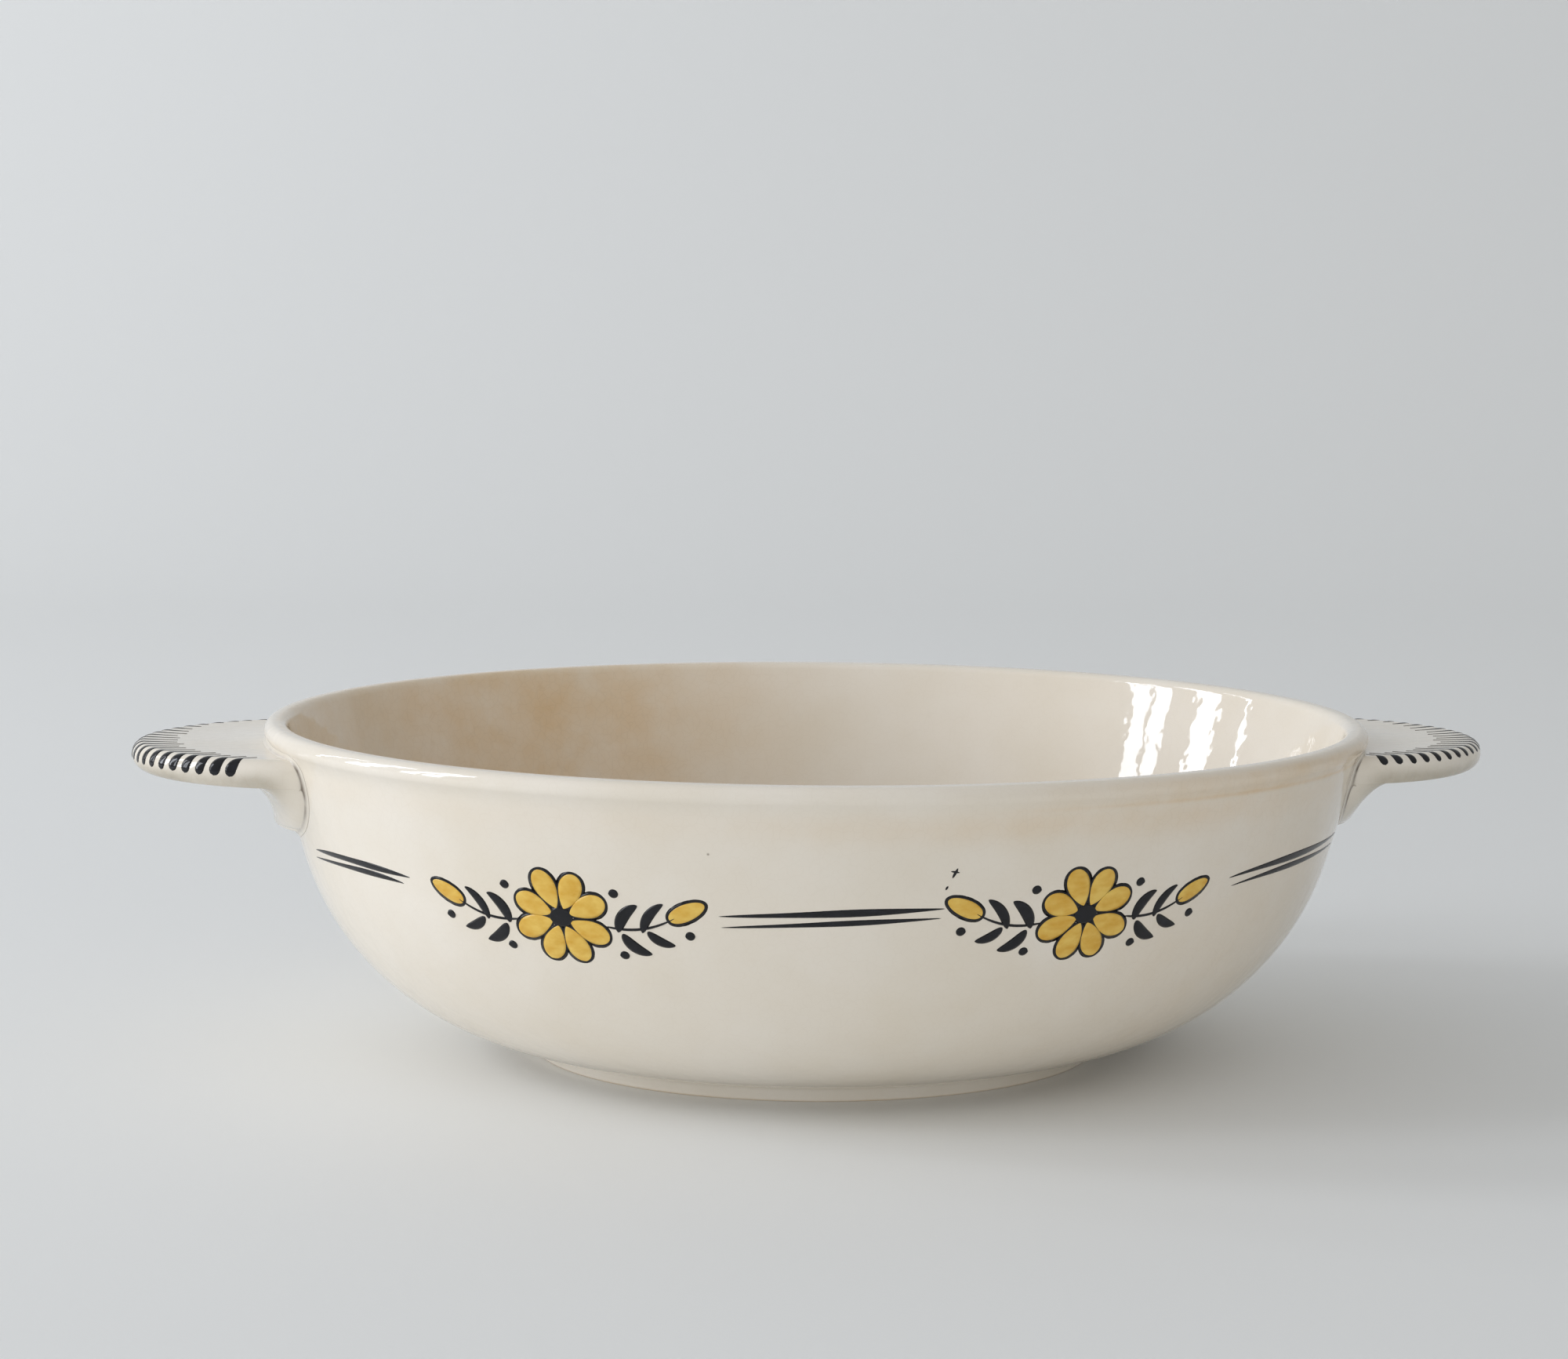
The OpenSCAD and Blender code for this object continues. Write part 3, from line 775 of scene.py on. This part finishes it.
# a brush line: a smooth path through three places, thin at its ends and fullest past its middle
def stripeMark(stripe):
    s = np.linspace(0, 1, brushLine["steps"])
    middle = brushLine["steps"] // 2
    known = (0, 0.5, 1)
    degrees = np.polyval(np.polyfit(known, stripe["angles"], 2), s)
    height = np.polyval(np.polyfit(known, stripe["heights"], 2), s)
    centre, level = degrees[middle], height[middle]
    reach = np.interp(level, wallSection[:, 1], wallSection[:, 0])
    runs = np.interp(np.radians(degrees), ovalTurns, ovalRun)
    a = (runs - np.interp(np.radians(centre), ovalTurns, ovalRun)) * reach
    b = np.interp(height, wallSection[:, 1], wallRun) - np.interp(level, wallSection[:, 1], wallRun)
    swell = np.sin(np.pi * s ** brushLine["late"]) ** brushLine["blunt"]
    width = stripe["half"] * swell * (1 + brushLine["sway"] * np.sin(brushLine["swayTurns"] * s + centre))
    width[[0, -1]] = 0
    return blades(np.stack([a, b], axis=-1)[None], width[None], layOnWall(centre, level))


stripePoints = np.concatenate([stripeMark(stripe) for stripe in stripes])
stripePoints = np.concatenate([stripePoints, stripePoints * turnAbout])
stripeBody = skinMesh("wall_stripes", stripePoints, blackEnamel)

# a daisy between two sprigs, drawn in mm about the daisy's middle
spray = {"places": ((-31.9, 43.8), (22.2, 45.0)), "petals": 8, "petalIn": 2.0, "petalOut": 10.0,
         "petalHalf": 2.65, "petalFullest": 0.62, "petalVaries": 0.03, "petalBow": 0.02, "outline": 0.5,
         "centre": 2.4, "steps": 26,
         "stem": ((9.2, -1.2), (22.6, 1.4), 0.3, -0.1), "bud": ((21.6, 1.0), (28.4, 4.4), 2.0),
         "budOutline": ((21.1, 0.7), (29.0, 4.7), 2.5), "berries": ((11.2, 5.8), (12.0, -7.2), (25.4, -2.2)),
         "berry": 0.95,
         "leaves": (((11.4, -2.2), (15.6, 3.6), 1.25, 0.14), ((12.2, -2.5), (17.6, -6.6), 1.25, -0.14),
                    ((16.2, -2.0), (20.6, 4.2), 1.05, 0.12), ((17.2, -1.7), (22.4, -4.4), 1.05, -0.12))}
roundEnd = 0.5  # power of a blade's width that makes its ends round
coats = {"petals": 1.5, "outlines": 0.7, "leaves": 1.9}  # thickness of each coat, in films


# a leaf-shaped blade between two points, bowed to one side, fullest at the given share of its length
def leafBlade(start, end, half, bow=0.0, fullest=0.5, power=0.6):
    s = (1 - np.cos(np.pi * np.linspace(0, 1, spray["steps"]))) / 2
    start, end = np.array(start, dtype=float), np.array(end, dtype=float)
    ahead = end - start
    aside = np.array([-ahead[1], ahead[0]])
    path = start + s[:, None] * ahead + (4 * s * (1 - s))[:, None] * aside * bow
    warped = s ** (np.log(0.5) / np.log(fullest))
    width = half * np.maximum(4 * warped * (1 - warped), 0) ** power
    width[[0, -1]] = 0
    return path, width


# marks of one length put into two arrays, of paths and of half widths
def stack(marks):
    return np.stack([m[0] for m in marks]), np.stack([m[1] for m in marks])


# a dot is a blade as long as it is wide
def dotMark(middle, radius):
    reach = np.array([radius, 0])
    return leafBlade(middle - reach, middle + reach, radius, power=roundEnd)


# the petals with their outlines about a dark centre, and on each side a stem with leaves, berries and a bud
def sprayMarks():
    yellow, outline, dark = [], [], []
    rim = spray["outline"]
    for k in range(spray["petals"]):
        turn = 2 * np.pi * (k + 0.5) / spray["petals"]
        d = np.array([np.cos(turn), np.sin(turn)])
        inner = spray["petalIn"] * d
        outer = spray["petalOut"] * (1 + spray["petalVaries"] * np.sin(3.7 * k)) * d
        shape = (spray["petalBow"] * np.cos(2.3 * k), spray["petalFullest"], roundEnd)
        yellow.append(leafBlade(inner, outer, spray["petalHalf"], *shape))
        outline.append(leafBlade(inner - rim * d, outer + rim * d, spray["petalHalf"] + rim, *shape))
    dark.append(dotMark(np.zeros(2), spray["centre"]))
    for side in (-1, 1):
        w = np.array([side, 1.0])
        start, end, half, bow = spray["stem"]
        dark.append(leafBlade(start * w, end * w, half, side * bow, 0.4, power=0.4))
        for start, end, half, bow in spray["leaves"]:
            dark.append(leafBlade(start * w, end * w, half, side * bow, 0.45))
        for marks, key in ((yellow, "bud"), (outline, "budOutline")):
            start, end, half = spray[key]
            marks.append(leafBlade(start * w, end * w, half, 0, 0.45, power=roundEnd))
        for berry in spray["berries"]:
            dark.append(dotMark(berry * w, spray["berry"]))
    return yellow, outline, dark


yellowMarks, outlineMarks, darkMarks = (stack(marks) for marks in sprayMarks())


# the marks at each of the two places on the front, and again on the back by half a turn
def laySprays(marks, rise):
    points = np.concatenate([blades(*marks, layOnWall(*place), rise) for place in spray["places"]])
    return np.concatenate([points, points * turnAbout])


petalBody = skinMesh("spray_petals", laySprays(yellowMarks, coats["petals"]), yellowEnamel)
outlineBody = skinMesh("spray_outlines", laySprays(outlineMarks, coats["outlines"]), blackEnamel)
leafBody = skinMesh("spray_leaves", laySprays(darkMarks, coats["leaves"]), blackEnamel)

# a few flecks of black let fall beside the right-hand spray: start and end in mm, and half width
fleck = {"place": (7.6, 54.6), "drops": (((-0.4, -1.0), (0.5, 1.0), 0.3), ((-0.8, 0.4), (0.9, 0.1), 0.22),
                                         ((-1.5, -3.4), (-1.1, -2.6), 0.24))}
fleckMarks = stack([leafBlade(*drop) for drop in fleck["drops"]])
fleckBody = skinMesh("black_flecks", blades(*fleckMarks, layOnWall(*fleck["place"])), blackEnamel)
print("stripes and sprays painted")


# Every piece rides on the one body, and stands for its CAD node where it has one
for piece, node, slotName in (
        (bowlBody, "bowl", "cream_glaze"), (footBody, "foot_ring", "cream_glaze"),
        (lugBodies["left"], "left_handle", "cream_glaze"), (lugBodies["right"], "right_handle", "cream_glaze"),
        (slipBodies["left"], "left_handle_slip", "joint_slip"),
        (slipBodies["right"], "right_handle_slip", "joint_slip"),
        (featherBodies["left"], None, "black_paint"), (featherBodies["right"], None, "black_paint"),
        (stripeBody, None, "black_paint"), (outlineBody, None, "black_paint"), (leafBody, None, "black_paint"),
        (fleckBody, None, "black_paint"),
        (petalBody, None, "yellow_paint")):
    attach(piece, "root")
    if node:
        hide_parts(node)


# Stage
sweep = {"front": -1.6, "bend": 0.9, "radius": 0.5, "top": 2.4, "half": 2.6, "paper": "#F3F4F3",
         "tooth": 1.2, "toothDepth": 0.1, "toothShow": 0.25, "roughness": 0.75}


# a sheet of paper on the table that curves up behind: a level line, a quarter round and an upright line
def paperSweep():
    level = line((sweep["front"], 0), (sweep["bend"], 0), 20)[:-1]
    bend = arc((sweep["bend"], sweep["radius"]), sweep["radius"], -90, 0, 24)[:-1]
    behind = sweep["bend"] + sweep["radius"]
    rise = line((behind, sweep["radius"]), (behind, sweep["top"]), 16)
    section = np.concatenate([level, bend, rise])
    x = np.linspace(-sweep["half"], sweep["half"], 12)
    points = np.stack(np.broadcast_arrays(x[None], section[:, :1], section[:, 1:]), axis=-1)
    index = np.arange(points.shape[0] * points.shape[1]).reshape(points.shape[:2])
    quads = np.stack([index[:-1, :-1], index[:-1, 1:], index[1:, 1:], index[1:, :-1]], axis=-1).reshape(-1, 4)
    mesh = bpy.data.meshes.new("paper_sweep")
    mesh.from_pydata(points.reshape(-1, 3).tolist(), [], quads.tolist())
    mesh.polygons.foreach_set("use_smooth", np.ones(len(mesh.polygons), dtype=bool))
    m = newMaterial("pale_card")  # matt card, with a fine tooth that keeps its light soft
    place = addNode(m, "ShaderNodeTexCoord").outputs["Object"]
    grain = addNode(m, "ShaderNodeTexNoise", Vector=place, Scale=1000 / sweep["tooth"], Detail=3.0)
    tooth = addNode(m, "ShaderNodeBump", Strength=sweep["toothShow"], Distance=sweep["toothDepth"] * mm,
                    Height=grain.outputs["Fac"])
    shader = addNode(m, "ShaderNodeBsdfPrincipled", Base_Color=linear(sweep["paper"]),
                     Roughness=sweep["roughness"], Normal=tooth.outputs[0])
    finishMaterial(m, shader)
    mesh.materials.append(m)
    sheet = bpy.data.objects.new("paper_sweep", mesh)
    bpy.context.collection.objects.link(sheet)


paperSweep()


# a rectangular lamp: its two sides, and the directions in which its first side, second side and back lie
def areaLamp(name, place, sides, directions, power, colour):
    data = bpy.data.lights.new(name, "AREA")
    data.shape = "RECTANGLE"
    data.size, data.size_y = sides
    data.energy = power
    data.color = linear(colour)[:3]
    lamp = bpy.data.objects.new(name, data)
    turn = Matrix(np.array(directions, dtype=float).T.tolist()).to_4x4()
    lamp.matrix_world = Matrix.Translation(place) @ turn
    bpy.context.collection.objects.link(lamp)
    return lamp


# soft daylight from a tall window on the left, in panes, and a pale room all round
panes = [{"y": -0.365, "width": 0.14}, {"y": -0.195, "width": 0.12}, {"y": 0.24, "width": 0.24},
         {"y": 0.7, "width": 0.06}]
window = {"x": -1.5, "z": 0.7, "tall": 1.1, "power": 15.6, "colour": "#F3F7FF",
          "directions": ((0, 0, 1), (0, 1, 0), (-1, 0, 0))}
paneTotal = sum(pane["width"] for pane in panes)
for number, pane in enumerate(panes):
    areaLamp(f"window_pane_{number}", (window["x"], pane["y"], window["z"]), (window["tall"], pane["width"]),
             window["directions"], window["power"] * pane["width"] / paneTotal, window["colour"])

# a low sheet of soft light in front, which reaches under the belly and shows in no reflection
fill = {"place": (-0.6, -1.5, 0.2), "sides": (1.3, 0.36), "power": 3.8, "colour": "#FFFFFF",
        "directions": ((1, 0, 0), (0, 0, 1), (0, -1, 0))}
areaLamp("front_fill", fill["place"], fill["sides"], fill["directions"], fill["power"],
         fill["colour"]).visible_glossy = False

# the room is brightest towards the window's side of the front, and falls off evenly to the other side
room = {"colour": "#F4F5F6", "low": 0.21, "high": 0.6, "towards": (-0.42, -0.5, 0.76)}
world = bpy.data.worlds.new("pale_room")
world.use_nodes = True
looking = addNode(world, "ShaderNodeTexCoord").outputs["Generated"]
turned = addNode(world, "ShaderNodeVectorMath", {"operation": "DOT_PRODUCT"}, in0=looking, in1=room["towards"])
level = addNode(world, "ShaderNodeMapRange", Value=turned.outputs["Value"], From_Min=-1.0, From_Max=1.0,
                To_Min=room["low"], To_Max=room["high"])
background = world.node_tree.nodes["Background"]
background.inputs["Color"].default_value = linear(room["colour"])
world.node_tree.links.new(level.outputs[0], background.inputs["Strength"])
bpy.context.scene.world = world
bpy.context.scene.view_settings.view_transform = "Standard"
print("stage lit")
